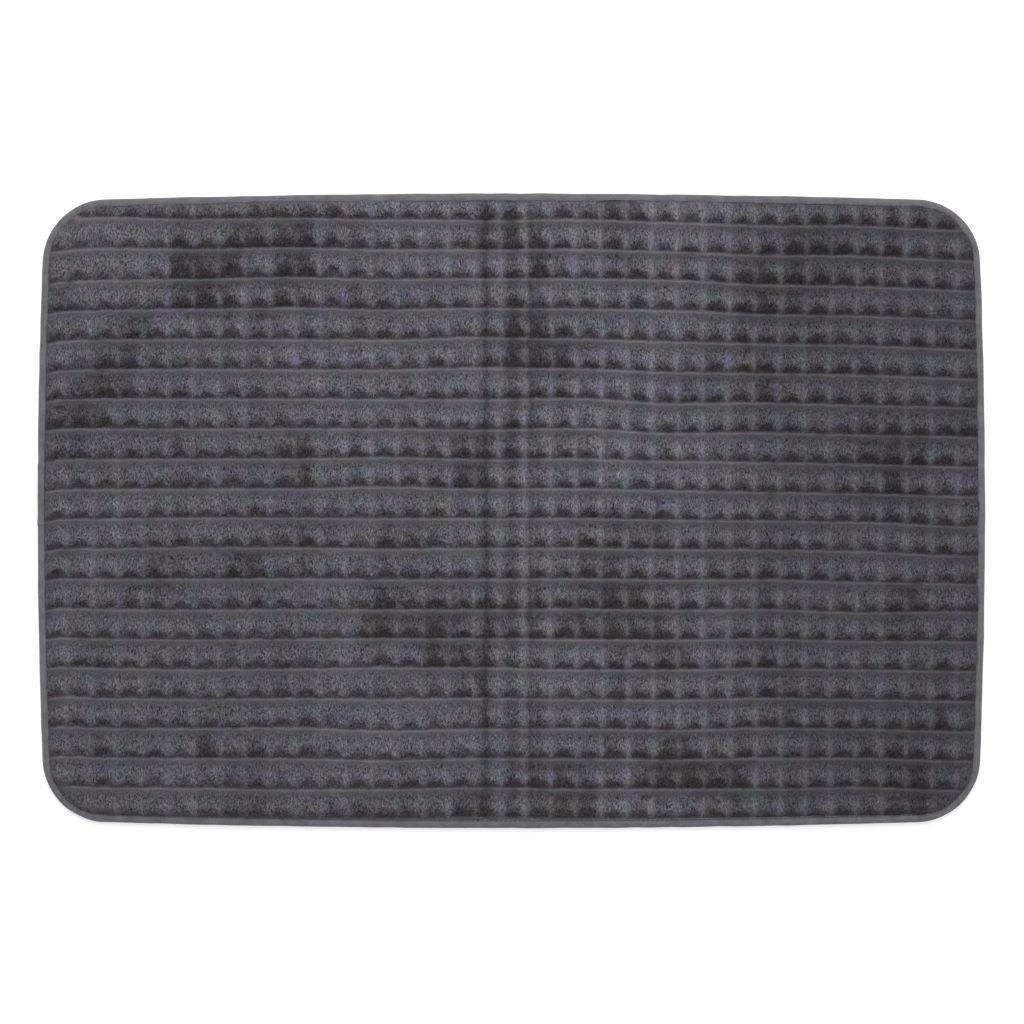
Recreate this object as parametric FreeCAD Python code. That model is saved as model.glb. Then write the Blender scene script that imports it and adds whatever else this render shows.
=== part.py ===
"""Quilted bath mat, 60 x 40 cm: fleece cover, foam core, grip backing and a bound edge.

All lengths are millimetres. X runs along the mat, Y across it, Z up. The origin is on the
floor under the middle of the mat, and the floor is the plane Z = 0.
"""

import FreeCAD
import Part

import math
import os

Vector = FreeCAD.Vector

# Overall sizes, measured over the edge binding
mat_length = 600.0
mat_width = 402.0
corner_radius = 41.0
long_side_bow = 3.8        # how far the middle of a long side stands out past its ends
short_side_bow = 3.2       # the same for a short side

# Underside
floor_clearance = 0.05     # between the floor and the lowest thread of the seam
dot_base_diameter = 6.0
dot_tip_diameter = 4.4
dot_pitch = 22.0           # centre to centre, in staggered rows
dot_margin = 4.0           # bare backing between the binding and the nearest dot

# Layers, from the underside up
backing_thickness = 0.6
foam_thickness = 8.0
fleece_thickness = 2.4     # cover cloth with its pile

# Edge, where the layers are pressed thin and bound
foam_edge_thickness = 2.4
fleece_edge_thickness = 1.2
foam_shoulder_radius = 4.5
fleece_shoulder_radius = 6.0
least_shoulder_wall = 0.2  # straight wall that is left under a rounded shoulder

# Pressed lines along the cover, which part it into ribs
rib_pitch = 19.03
rib_line_width = 3.2
rib_line_depth = 1.6
rib_field_shift = 4.4      # the middle of the lines lies this far towards +Y

# Edge binding: a tape folded round the edge, its ends lapped on the left side
tape_thickness = 0.6
tape_cover = 6.4           # how far the tape reaches in from the edge, above and below
lap_length = 38.0
lap_middle = 10.0          # Y of the middle of the lap

# Lockstitch seam that holds the binding
seam_margin = 1.5          # from the tape's inner edge to the middle of the seam
thread_width = 0.5
thread_height = 0.25

# The grip dots lift the doubled tape and its thread off the floor
dot_height = floor_clearance + thread_height + 2.0 * tape_thickness

# Heights of the layer boundaries above the floor
backing_bottom = dot_height
foam_bottom = backing_bottom + backing_thickness
foam_edge_top = foam_bottom + foam_edge_thickness
foam_top = foam_bottom + foam_thickness
fleece_edge_top = foam_edge_top + fleece_edge_thickness
fleece_top = foam_top + fleece_thickness
tape_bottom = backing_bottom - tape_thickness
tape_top = fleece_edge_top + tape_thickness
lap_bottom = tape_bottom - tape_thickness
lap_top = tape_top + tape_thickness


def bowed_radius(chord, bow):
    """Radius of the arc that stands out by this bow over this chord."""
    return chord * chord / (8.0 * bow) + bow / 2.0


long_side_radius = bowed_radius(mat_length - 2.0 * corner_radius, long_side_bow)
short_side_radius = bowed_radius(mat_width - 2.0 * corner_radius, short_side_bow)
long_side_centre = Vector(0, mat_width / 2.0 - long_side_radius, 0)
short_side_centre = Vector(mat_length / 2.0 - short_side_radius, 0, 0)


def find_corner_centre():
    """Centre of the corner arc at +X +Y, which runs smoothly into both bowed sides."""
    reach_short = short_side_radius - corner_radius
    reach_long = long_side_radius - corner_radius
    line = long_side_centre - short_side_centre
    distance = line.Length
    along = (reach_short ** 2 - reach_long ** 2 + distance ** 2) / (2.0 * distance)
    aside = math.sqrt(reach_short ** 2 - along ** 2)
    unit = line * (1.0 / distance)
    square = Vector(-unit.y, unit.x, 0)
    return short_side_centre + unit * along + square * aside


corner_centre = find_corner_centre()


def on_ray(start, through, distance):
    """The point this far from start, towards another point."""
    direction = through - start
    direction.normalize()
    return start + direction * distance


def mirrored(point, side_x, side_y):
    """A point of the +X +Y quarter, moved to another quarter."""
    return Vector(point.x * side_x, point.y * side_y, point.z)


def outline(inset):
    """The mat's outline as eight smooth arcs, moved inwards by inset."""
    right_middle = Vector(mat_length / 2.0 - inset, 0, 0)
    top_middle = Vector(0, mat_width / 2.0 - inset, 0)
    corner_start = on_ray(short_side_centre, corner_centre, short_side_radius - inset)
    corner_end = on_ray(long_side_centre, corner_centre, long_side_radius - inset)
    chord_middle = (corner_start + corner_end) * 0.5
    corner_middle = on_ray(corner_centre, chord_middle, corner_radius - inset)
    edges = []
    for side_x, side_y in ((1, 1), (-1, 1), (-1, -1), (1, -1)):
        start = mirrored(corner_start, side_x, side_y)
        middle = mirrored(corner_middle, side_x, side_y)
        end = mirrored(corner_end, side_x, side_y)
        edges.append(Part.Arc(start, middle, end).toShape())
    for side_y in (1, -1):
        right = mirrored(corner_end, 1, side_y)
        left = mirrored(corner_end, -1, side_y)
        edges.append(Part.Arc(right, mirrored(top_middle, 1, side_y), left).toShape())
    for side_x in (1, -1):
        upper = mirrored(corner_start, side_x, 1)
        lower = mirrored(corner_start, side_x, -1)
        edges.append(Part.Arc(upper, mirrored(right_middle, side_x, 1), lower).toShape())
    return Part.Wire(Part.__sortEdges__(edges))


def slab(inset, bottom, top):
    """A flat plate of the mat's outline between two heights."""
    face = Part.Face(outline(inset))
    face.translate(Vector(0, 0, bottom))
    return face.extrude(Vector(0, 0, top - bottom))


def pillow(inset, bottom, top, radius):
    """A plate whose top edge is rounded over."""
    plate = slab(inset, bottom, top)
    rounded = min(radius, top - bottom - least_shoulder_wall)
    top_edges = [edge for edge in plate.Edges if edge.BoundBox.ZMin > top - 1e-6]
    return plate.makeFillet(rounded, top_edges)


def ring(outer_inset, inner_inset, bottom, top):
    """A flat band that follows the mat's edge."""
    return slab(outer_inset, bottom, top).cut(slab(inner_inset, bottom, top))


def lap_window(extra):
    """A block round the left side where the tape's ends lap, longer by extra each way."""
    length = lap_length + 2.0 * extra
    width = 2.0 * corner_radius
    corner = Vector(-mat_length / 2.0 - corner_radius, lap_middle - length / 2.0, -lap_top)
    return Part.makeBox(width, length, 3.0 * lap_top, corner)


def make_backing():
    return slab(tape_thickness, backing_bottom, foam_bottom)


def make_foam():
    """The foam slab, pressed thin where the binding grips it."""
    edge = slab(tape_thickness, foam_bottom, foam_edge_top)
    body = pillow(tape_cover + fleece_thickness, foam_bottom, foam_top, foam_shoulder_radius)
    return edge.fuse(body).removeSplitter()


def make_rib_lines():
    """V grooves along X, one for each pressed line of the cover."""
    field = mat_width - 2.0 * tape_cover
    count = int(field / rib_pitch)
    half = rib_line_width / 2.0
    lines = []
    for index in range(count):
        y = rib_field_shift + (index - (count - 1) / 2.0) * rib_pitch
        corners = [
            Vector(-mat_length / 2.0, y - half, fleece_top),
            Vector(-mat_length / 2.0, y + half, fleece_top),
            Vector(-mat_length / 2.0, y, fleece_top - rib_line_depth),
        ]
        section = Part.Face(Part.makePolygon(corners + corners[:1]))
        lines.append(section.extrude(Vector(mat_length, 0, 0)))
    return lines


def make_fleece(foam):
    """The cover: a shell over the foam, with its pressed lines."""
    edge = slab(tape_thickness, foam_edge_top, fleece_edge_top)
    body = pillow(tape_cover, foam_edge_top, fleece_top, fleece_shoulder_radius)
    cover = edge.fuse(body).removeSplitter()
    return cover.cut(foam).cut(make_rib_lines())


def make_grip_dots():
    """Raised dots in staggered rows, one of them at the origin."""
    dot_radius = dot_base_diameter / 2.0
    allowed = Part.Face(outline(tape_cover + dot_margin + dot_radius))
    row_step = dot_pitch * math.sqrt(3.0) / 2.0
    rows = int(mat_width / 2.0 / row_step)
    columns = int(mat_length / 2.0 / dot_pitch)
    dots = []
    for row in range(-rows, rows + 1):
        stagger = dot_pitch / 2.0 if row % 2 else 0.0
        for column in range(-columns - 1, columns + 1):
            place = Vector(column * dot_pitch + stagger, row * row_step, 0)
            if allowed.isInside(place, 1e-6, True):
                dots.append(Part.makeCone(dot_tip_diameter / 2.0, dot_radius, dot_height, place))
    return Part.makeCompound(dots)


def make_binding():
    """One tape folded round the whole edge, doubled where its ends lap."""
    wrap = ring(0.0, tape_cover, tape_bottom, tape_top)
    wrap = wrap.cut(slab(tape_thickness, backing_bottom, fleece_edge_top))
    lap = ring(-tape_thickness, tape_cover, lap_bottom, lap_top)
    lap = lap.cut(slab(0.0, tape_bottom, tape_top)).common(lap_window(0.0))
    return wrap.fuse(lap).removeSplitter()


def seam_band(bottom, top):
    """The width of the seam all round the mat, between two heights."""
    middle = tape_cover - seam_margin
    half = thread_width / 2.0
    return ring(middle - half, middle + half, bottom, top)


def make_needle_thread(binding):
    """The seam's upper thread, which lies on the tape and climbs over the lap."""
    run = seam_band(tape_top, tape_top + thread_height)
    over_lap = seam_band(tape_top, lap_top + thread_height).common(lap_window(thread_height))
    return run.fuse(over_lap).cut(binding).removeSplitter()


def make_bobbin_thread(binding):
    """The seam's lower thread, the same on the underside."""
    run = seam_band(tape_bottom - thread_height, tape_bottom)
    over_lap = seam_band(lap_bottom - thread_height, tape_bottom).common(lap_window(thread_height))
    return run.fuse(over_lap).cut(binding).removeSplitter()


def make_pieces():
    """Every piece of the mat by its node name."""
    foam = make_foam()
    binding = make_binding()
    return {
        "fleece_cover": make_fleece(foam),
        "foam_core": foam,
        "backing_fabric": make_backing(),
        "grip_dots": make_grip_dots(),
        "edge_binding": binding,
        "needle_thread": make_needle_thread(binding),
        "bobbin_thread": make_bobbin_thread(binding),
    }


os.makedirs("parts", exist_ok=True)
for node, shape in make_pieces().items():
    shape.exportStep("parts/" + node + ".step")
    print(node, "solids", len(shape.Solids), "valid", shape.isValid(), "mm3", round(shape.Volume))
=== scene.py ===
"""A quilted bath mat: pressed fleece over a foam core, bound with a folded tape.

All lengths are metres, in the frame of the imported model: X along the mat, Y across it, Z up.
"""

import math

import bpy
import bmesh
import numpy as np
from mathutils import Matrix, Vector


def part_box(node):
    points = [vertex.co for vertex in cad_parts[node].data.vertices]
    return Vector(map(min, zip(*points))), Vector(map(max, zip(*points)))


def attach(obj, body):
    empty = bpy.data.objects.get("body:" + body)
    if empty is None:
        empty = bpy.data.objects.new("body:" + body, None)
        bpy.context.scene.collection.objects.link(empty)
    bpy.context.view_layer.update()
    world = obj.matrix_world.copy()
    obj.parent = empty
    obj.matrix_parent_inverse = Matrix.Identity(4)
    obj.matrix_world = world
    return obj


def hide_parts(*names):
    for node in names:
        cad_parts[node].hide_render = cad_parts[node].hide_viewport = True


bl_info = {
    "name": "Quilted Bath Mat",
    "version": (1, 0, 0),
    "blender": (4, 5, 0),
    "location": "3D View > Sidebar > Bath Mat",
    "description": "Builds a bound fleece bath mat, piece by piece, round its packed frame",
    "category": "Add Mesh",
}

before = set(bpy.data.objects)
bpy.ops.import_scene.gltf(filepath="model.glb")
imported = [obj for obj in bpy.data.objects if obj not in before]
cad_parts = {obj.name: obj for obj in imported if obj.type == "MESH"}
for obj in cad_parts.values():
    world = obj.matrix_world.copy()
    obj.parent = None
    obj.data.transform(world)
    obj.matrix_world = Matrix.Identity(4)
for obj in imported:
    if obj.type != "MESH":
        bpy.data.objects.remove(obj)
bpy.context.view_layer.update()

BACKING_LOW, BACKING_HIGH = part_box("backing_fabric")
FOAM_LOW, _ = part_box("foam_core")
_, FLEECE_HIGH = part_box("fleece_cover")
TAPE_LOW, TAPE_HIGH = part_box("edge_binding")

SEED = 41
LINE_GAPS = 19             # ribs between the first and the last pressed line
LINE_FLAT = 0.09           # width of a pressed line, as a share of the way to the next line
RIB_CREST = 0.62           # where a rib is highest, likewise
RIB_FOOT = 0.985           # where it has fallen to the next line, likewise
RIB_STEPS = (0.0, 0.035, 0.07, 0.11, 0.17, 0.27, 0.39, 0.51, 0.63, 0.75, 0.85, 0.92, 0.965)
CELL_FACES = 9             # faces from one channel to the next
CLOTH_STEPS = (0.0, 1 / 7, 2 / 7, 3 / 7, 4 / 7, 5 / 7, 6 / 7)    # rows of the simulated cloth
CLOTH_FACES = 6            # its faces from one channel to the next
CLOTH_FRAMES = 20
START_HEIGHT = 0.86        # rib height before the cells are blown up, as a share
MOST_PUFF = 0.0014         # the furthest that a point may move in the simulation
LINES_LEVEL_TO = -0.07     # X up to which the first line runs level
SHOULDER_START = 0.0054    # how far in from the edge the cover starts to rise
SHOULDER_WIDTH = 0.0070
UNDER_TAPE_GAP = 0.0001    # between the cover's pressed edge and the tape on it
COVER_LIP = 0.0012         # how far in from the edge the cover's cut edge lies
FOAM_STEP = 2              # cover faces to one face of the foam
FLEECE_CLOTH = 0.0021      # thickness of the cover's cloth and the room for its folds
FOAM_EDGE = 0.0022         # thickness of the foam where the binding grips it
FOAM_RISE_START = 0.0092   # how far in from the edge the foam starts to rise
FOAM_RISE_WIDTH = 0.0060
TAPE_RIBS = 26.0           # knitted ribs round the tape's section
TAPE_STEP = 0.001          # from one ring of the tape's mesh to the next
LAP_ROOM = 0.0006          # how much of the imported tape's height, on each face, its lap takes
LAP_LIFT = 1.15            # shift of the tape's sides and upper stitches on its lap, in thicknesses
FLOOR_LEVEL = 0.0
FLOOR_SIZE = 30.0
VIEW_CENTRE = (0.0004, -0.0008)
# the creases left by folding, which dip the cover and carry painted shade, and the ridges between
# them below zero, which carry painted light: X, width, strength
FOLD_CREASES = ((-0.0163, 0.0016, 1.0), (-0.0083, 0.0026, -0.35), (0.0008, 0.0034, 0.6),
                (0.0072, 0.0024, -0.35), (0.0124, 0.0018, 0.8), (0.0172, 0.0016, 0.4))
# where the pile was last brushed the other way: X, Y, reach along X and Y, strength
BRUSHED = ((-0.172, 0.144, 0.062, 0.034, 2.3), (-0.182, -0.149, 0.040, 0.011, 1.8),
           (0.112, -0.168, 0.035, 0.011, 1.5), (0.012, 0.130, 0.028, 0.060, 1.4),
           (0.000, -0.058, 0.060, 0.016, 0.5), (-0.236, -0.040, 0.035, 0.020, 0.9),
           (0.185, 0.135, 0.075, 0.045, 1.1), (-0.262, 0.062, 0.035, 0.045, 1.0))


# ---------------------------------------------------------------- settings

def length(name, text, value, low=0.0, high=2.0):
    """A length that a user may change."""
    return bpy.props.FloatProperty(
        name=name, description=text, default=value, min=low, max=high,
        precision=5, subtype="DISTANCE", unit="LENGTH")


def share(name, text, value, low=0.0, high=1.0):
    """A plain number without a unit."""
    return bpy.props.FloatProperty(
        name=name, description=text, default=value, min=low, max=high, precision=4)


def colour(name, text, value):
    """A linear colour."""
    return bpy.props.FloatVectorProperty(
        name=name, description=text, default=value, size=3, min=0.0, max=1.0, subtype="COLOR")


class OutlineSettings(bpy.types.PropertyGroup):
    """The mat's outline over its binding, without the lap in the tape."""

    length: length("Length", "Length of the mat along X", round(2 * TAPE_HIGH.x, 3))
    width: length("Width", "Width of the mat along Y", round(2 * TAPE_HIGH.y, 3))
    corner: length("Corner radius", "Radius of each corner", 0.041)
    long_bow: length("Long side bow", "How far a long side's middle stands out", 0.0038)
    short_bow: length("Short side bow", "How far a short side's middle stands out", 0.0032)


class FleeceSettings(bpy.types.PropertyGroup):
    """The pressed pile cover."""

    rib_pitch: length("Rib pitch", "From one pressed line to the next", 0.01893)
    first_line: length("First line", "Y of the pressed line nearest the +Y side", 0.1846)
    line_drop: length("Line drop", "How far the first line runs down towards +X", 0.0086)
    cell_pitch: length("Cell pitch", "From one pressed channel to the next along X", 0.01606)
    first_channel: share("First channel", "X of the first pressed channel", -0.2802, -1.0, 1.0)
    rib_height: length("Rib height", "From a pressed line up to the crest of a rib", 0.0042)
    channel_left: share("Channel depth left", "Depth of the channels at the left", 0.12)
    channel_right: share("Channel depth right", "Depth of the channels at the right", 0.46)
    pile: length("Pile relief", "How far the tufts stand out of the pile", 0.00055)
    overhang: length("Overhang", "How far the pile swells over the binding", 0.0016)
    tip_colour: colour("Tip colour", "Colour of the fibre tips", (0.138, 0.132, 0.160))
    # painted shade in the gaps between the tufts
    root_shade_colour: colour("Root colour", "Colour between the tufts", (0.007, 0.0065, 0.009))
    # the warm tint of the painted shade where the pile turns down, and of the brushed nap
    shade_and_nap_tint: colour("Warm tint", "Tint of the pile seen end on", (1.0, 0.84, 0.80))
    pressed_colour: colour("Pressed colour", "Colour of pile pressed flat", (0.078, 0.074, 0.086))
    # the pressed line's colour, lighter in part as a painted highlight on the lip of the rib below
    line_and_highlight_colour: colour("Line colour", "Colour on a pressed line", (0.112, 0.097, 0.103))


class BindingSettings(bpy.types.PropertyGroup):
    """The tape folded round the edge and its seam."""

    cover: length("Cover", "How far the tape reaches in from the edge", 0.0064)
    thickness: length("Thickness", "Thickness of the tape", 0.0006)
    seam_inset: length("Seam inset", "From the edge to the seam", 0.0049)
    stitch_pitch: length("Stitch pitch", "From one stitch to the next", 0.003)
    thread: length("Thread", "Diameter of the sewing thread", 0.00045)
    lap_length: length("Lap", "Length over which the tape's ends lap", 0.038)
    lap_middle: length("Lap middle", "Y of the middle of the lap, on the left side", 0.010, -1.0)
    colour: colour("Tape colour", "Colour of the tape", (0.136, 0.133, 0.152))
    thread_colour: colour("Thread colour", "Colour of the thread", (0.060, 0.056, 0.064))


class StageSettings(bpy.types.PropertyGroup):
    """The floor, the lights and the camera."""

    floor_colour: colour("Floor colour", "Colour of the plain floor", (0.96, 0.96, 0.96))
    view_width: length("View width", "Width that the camera sees at the mat's edge", 0.6486)
    lens: bpy.props.FloatProperty(
        name="Lens", description="Focal length in millimetres", default=85.0, min=20.0)


# ---------------------------------------------------------------- outline

class Outline:
    """The mat's outline as smooth arcs, and distances to it. Arrays in, arrays out."""

    def __init__(self, settings):
        self.half_x = settings.length / 2
        self.half_y = settings.width / 2
        self.corner = settings.corner
        self.short_radius = self.bowed(settings.width - 2 * self.corner, settings.short_bow)
        self.long_radius = self.bowed(settings.length - 2 * self.corner, settings.long_bow)
        self.short_x = self.half_x - self.short_radius
        self.long_y = self.half_y - self.long_radius
        self.corner_x, self.corner_y = self.corner_centre()

    @staticmethod
    def bowed(chord, bow):
        """Radius of the arc that stands out by bow over chord."""
        return chord * chord / (8 * bow) + bow / 2

    def corner_centre(self):
        """Centre of the corner arc that meets both bowed sides smoothly."""
        reach_short = self.short_radius - self.corner
        reach_long = self.long_radius - self.corner
        line = Vector((-self.short_x, self.long_y))
        gap = line.length
        along = (reach_short ** 2 - reach_long ** 2 + gap ** 2) / (2 * gap)
        aside = math.sqrt(reach_short ** 2 - along ** 2)
        unit = line / gap
        return (self.short_x + unit.x * along - unit.y * aside,
                unit.y * along + unit.x * aside)

    def arcs(self):
        """The eight arcs in order round the mat from +X: centre x, y, radius, two angles."""
        side = math.atan2(self.corner_y, self.corner_x - self.short_x)
        top = math.atan2(self.corner_y - self.long_y, self.corner_x)
        turn = math.pi
        sx, ly, cx, cy = self.short_x, self.long_y, self.corner_x, self.corner_y
        return [
            (sx, 0, self.short_radius, -side, side),
            (cx, cy, self.corner, side, top),
            (0, ly, self.long_radius, top, turn - top),
            (-cx, cy, self.corner, turn - top, turn - side),
            (-sx, 0, self.short_radius, turn - side, turn + side),
            (-cx, -cy, self.corner, turn + side, turn + top),
            (0, -ly, self.long_radius, turn + top, 2 * turn - top),
            (cx, -cy, self.corner, 2 * turn - top, 2 * turn - side),
        ]

    def path(self, distances):
        """Points and inward normals at these distances along the outline from (+X, -Y)."""
        arcs = self.arcs()
        lengths = np.array([a[2] * (a[4] - a[3]) for a in arcs])
        ends = np.cumsum(lengths)
        d = np.mod(distances, ends[-1])
        which = np.minimum(np.searchsorted(ends, d, side="right"), len(arcs) - 1)
        table = np.array(arcs)
        along = (d - (ends - lengths)[which]) / table[which, 2]
        angle = table[which, 3] + along
        out = np.stack([np.cos(angle), np.sin(angle)], axis=1)
        return table[which, :2] + out * table[which, 2:3], -out

    def perimeter(self):
        return sum(a[2] * (a[4] - a[3]) for a in self.arcs())

    def inset(self, x, y):
        """How far in from the outline each point lies, and the outward direction there."""
        ax, ay = np.abs(x), np.abs(y)
        short = np.hypot(ax - self.short_x, ay)
        long = np.hypot(ax, ay - self.long_y)
        corner = np.hypot(ax - self.corner_x, ay - self.corner_y)
        to_short = self.short_radius - short
        to_long = self.long_radius - long
        to_corner = self.corner - corner
        px, py = ax - self.corner_x, ay - self.corner_y
        sx, sy = self.corner_x - self.short_x, self.corner_y
        lx, ly = self.corner_x, self.corner_y - self.long_y
        in_corner = (sx * py - sy * px > 0) & (lx * py - ly * px < 0)
        by_short = to_short < to_long
        depth = np.where(in_corner, to_corner, np.where(by_short, to_short, to_long))
        ox = np.where(in_corner, px, np.where(by_short, ax - self.short_x, ax))
        oy = np.where(in_corner, py, np.where(by_short, ay, ay - self.long_y))
        size = np.maximum(np.hypot(ox, oy), 1e-9)
        return depth, np.sign(x) * ox / size, np.sign(y) * oy / size


# ---------------------------------------------------------------- arrays and meshes

def smooth(value, low, high):
    """0 below low, 1 above high, smooth between."""
    t = np.clip((value - low) / (high - low), 0, 1)
    return t * t * (3 - 2 * t)


def clouds(x, y, size_x, size_y, seed):
    """A smooth random field of about unit spread, with features of about this size."""
    place_x, place_y = (x + 0.5) / size_x, (y + 0.5) / size_y
    column, row = np.floor(place_x).astype(int), np.floor(place_y).astype(int)
    values = np.random.default_rng(seed).standard_normal((row.max() + 2, column.max() + 2))
    across, up = smooth(place_x - column, 0, 1), smooth(place_y - row, 0, 1)
    low = values[row, column] * (1 - across) + values[row, column + 1] * across
    high = values[row + 1, column] * (1 - across) + values[row + 1, column + 1] * across
    return 1.5 * (low * (1 - up) + high * up)


def ripple(distance, wave, seed):
    """A slow random wave along a line, of about unit height."""
    knots = int(distance[-1] / wave) + 3
    values = np.random.default_rng(seed).standard_normal(knots)
    place = distance / wave
    base = place.astype(int)
    t = place - base
    t = t * t * (3 - 2 * t)
    return values[base] * (1 - t) + values[base + 1] * t


def coordinates(mesh):
    """A mesh's points as an array."""
    points = np.empty(len(mesh.vertices) * 3)
    mesh.vertices.foreach_get("co", points)
    return points.reshape(-1, 3)


def set_coordinates(mesh, points):
    mesh.vertices.foreach_set("co", points.astype(np.float32).ravel())
    mesh.update()


def set_mask(mesh, name, values):
    """Stores one number a point, which a material reads by this name."""
    layer = mesh.attributes.new(name, "FLOAT", "POINT")
    layer.data.foreach_set("value", values.astype(np.float32).ravel())


def deselect():
    for item in bpy.context.selected_objects:
        item.select_set(False)


def add_grid(name, columns, rows):
    """A flat grid, a metre square, with its points in rows along X from -Y."""
    deselect()
    bpy.ops.mesh.primitive_grid_add(
        x_subdivisions=columns, y_subdivisions=rows, size=1.0, calc_uvs=False)
    piece = bpy.context.active_object
    piece.name = name
    piece.data.name = name
    return piece


def shade_smooth(piece):
    piece.data.polygons.foreach_set("use_smooth", np.ones(len(piece.data.polygons), bool))


def trim(piece, keep):
    """Deletes the faces that have no kept point."""
    mesh = bmesh.new()
    mesh.from_mesh(piece.data)
    doomed = [f for f in mesh.faces if not any(keep[v.index] for v in f.verts)]
    bmesh.ops.delete(mesh, geom=doomed, context="FACES")
    mesh.to_mesh(piece.data)
    mesh.free()


def strip(name, rings, closed):
    """A mesh of quads through rings of points; the strip's ends are capped unless closed."""
    count, around, _ = rings.shape
    index = np.arange(count * around).reshape(count, around)
    following = np.roll(index, -1, axis=0) if closed else index[1:]
    here = index if closed else index[:-1]
    quads = np.stack([here, np.roll(here, -1, axis=1),
                      np.roll(following, -1, axis=1), following], axis=-1).reshape(-1, 4)
    faces = quads.tolist()
    if not closed:
        faces.append(index[0, ::-1].tolist())
        faces.append(index[-1].tolist())
    mesh = bpy.data.meshes.new(name)
    mesh.from_pydata(rings.reshape(-1, 3).tolist(), [], faces)
    piece = bpy.data.objects.new(name, mesh)
    bpy.context.collection.objects.link(piece)
    return piece


# ---------------------------------------------------------------- cover form

class CoverForm:
    """The pressed cover on a grid whose rows follow the lines and whose columns the channels."""

    def __init__(self, outline, fleece, binding, steps=RIB_STEPS, faces=CELL_FACES):
        self.outline, self.fleece, self.binding = outline, fleece, binding
        left = math.floor((-outline.half_x - fleece.first_channel) / fleece.cell_pitch)
        right = math.ceil((outline.half_x - fleece.first_channel) / fleece.cell_pitch)
        above = outline.half_y - fleece.first_line + fleece.line_drop
        above = math.ceil(above / fleece.rib_pitch)
        below = math.ceil((outline.half_y + fleece.first_line) / fleece.rib_pitch)
        across = np.arange(left * faces, right * faces + 1) / faces
        down = [rib + step for rib in range(-above, below) for step in steps] + [below]
        self.channels, self.ribs = np.meshgrid(across, np.array(down)[::-1])
        self.columns, self.rows = len(across) - 1, len(down) - 1
        self.x, self.y = self.places()
        self.depth, self.out_x, self.out_y = outline.inset(self.x, self.y)
        self.rib_index = np.floor(self.ribs).astype(int)
        self.channel_index = np.floor(self.channels).astype(int)
        self.rib = self.ribs - self.rib_index
        self.channel = self.channels - self.channel_index
        self.round_x = 0.5 - 0.5 * np.cos(2 * np.pi * self.channel)
        self.crease = self.fold_lines()

    def places(self):
        """X and Y of every point: the lines run down a little towards +X and close up at -X."""
        f, half_x = self.fleece, self.outline.half_x
        x = f.first_channel + f.cell_pitch * self.channels
        y = f.first_line - f.rib_pitch * self.ribs
        x = x + 0.0004 * clouds(x, y, 0.05, 0.05, SEED + 1)
        slope = (np.clip(x - LINES_LEVEL_TO, 0, None) / (half_x - LINES_LEVEL_TO)) ** 2
        first = f.first_line - f.line_drop * slope
        last = f.first_line - LINE_GAPS * f.rib_pitch
        wobble = 0.0004 * clouds(x, y, 0.06, 0.04, SEED)
        y = first - (first - last) / LINE_GAPS * self.ribs + wobble
        curl = 0.0020 * smooth(-x, half_x - 0.017, half_x - 0.004)
        return x, y * (1 - 0.012 * smooth(-x, half_x - 0.05, half_x)) - curl

    def by_cell(self, seed, spread):
        """A random number for each cell, the same at all its points."""
        table = np.random.default_rng(seed).normal(1.0, spread, (64, 64))
        return np.clip(table[self.rib_index % 64, self.channel_index % 64], 0.4, 1.6)

    def fold_lines(self):
        """How near each point is to one of the creases left by folding, 1 on the deepest."""
        wander = 0.0008 * clouds(self.x, self.y, 0.09, 0.03, SEED + 2)
        total = np.zeros_like(self.x)
        for place, width, strength in FOLD_CREASES:
            total += strength * np.exp(-((self.x - place - wander) / width) ** 2)
        return np.clip(total, 0, 1)

    def rib_profile(self):
        """Height of a rib from line to line: flat, a slow rise, then a steep fall to -Y."""
        up = np.clip((self.rib - LINE_FLAT) / (RIB_CREST - LINE_FLAT), 0, 1)
        down = np.clip((self.rib - RIB_CREST) / (RIB_FOOT - RIB_CREST), 0, 1)
        rise = np.sin(0.5 * np.pi * up) ** 0.8
        fall = np.clip(np.cos(0.5 * np.pi * down), 0, 1) ** 0.6
        return np.where(self.rib < RIB_CREST, rise, fall)

    def channel_strength(self):
        f = self.fleece
        along = smooth(self.x, -0.16, 0.10)
        depth = f.channel_left + (f.channel_right - f.channel_left) * along
        depth = depth + 0.12 * self.brushed() * (1 - along)
        return np.clip(depth + 0.06 * clouds(self.x, self.y, 0.06, 0.03, SEED + 3), 0.05, 0.8)

    def pillow(self):
        """Height of the ribs and cells above the pressed lines, as a share of rib height."""
        dip = self.channel_strength() * (1 - self.round_x ** 0.8)
        puff = self.by_cell(SEED + 4, 0.10)
        return self.rib_profile() * (1 - dip) * (1 + (puff - 1) * self.round_x)

    def shoulder(self):
        """0 at the binding and 1 on the open field, and how far the edge swells outwards."""
        t = np.clip((self.depth - SHOULDER_START) / SHOULDER_WIDTH, 0, 1)
        rise = np.sqrt(1 - (1 - t) ** 2)
        reach = np.where(self.out_x > 0, 1.1, -0.85) * self.out_x
        reach = reach + np.where(self.out_y > 0, 0.80, -0.1) * self.out_y
        lumps = 1 + 0.20 * clouds(self.x, self.y, 0.008, 0.008, SEED + 10)
        lumps = lumps * (0.75 + 0.35 * self.round_x)
        swell = self.fleece.overhang * reach * lumps * np.sin(np.pi * np.clip(t / 0.5, 0, 1))
        return rise, swell

    def heights(self, share=1.0):
        """Z of the cover before its pile, with its ribs at this share of their height."""
        f = self.fleece
        floor = FLEECE_HIGH.z - 1.05 * f.rib_height
        wave = 0.0003 * clouds(self.x, self.y, 0.16, 0.12, SEED + 5)
        top = floor + share * f.rib_height * self.pillow() * (1 - 0.35 * self.crease)
        top = top + wave - 0.0016 * self.crease
        rise, swell = self.shoulder()
        edge = TAPE_HIGH.z - 2 * self.binding.thickness - UNDER_TAPE_GAP
        return edge + (top - edge) * rise, swell

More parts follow.
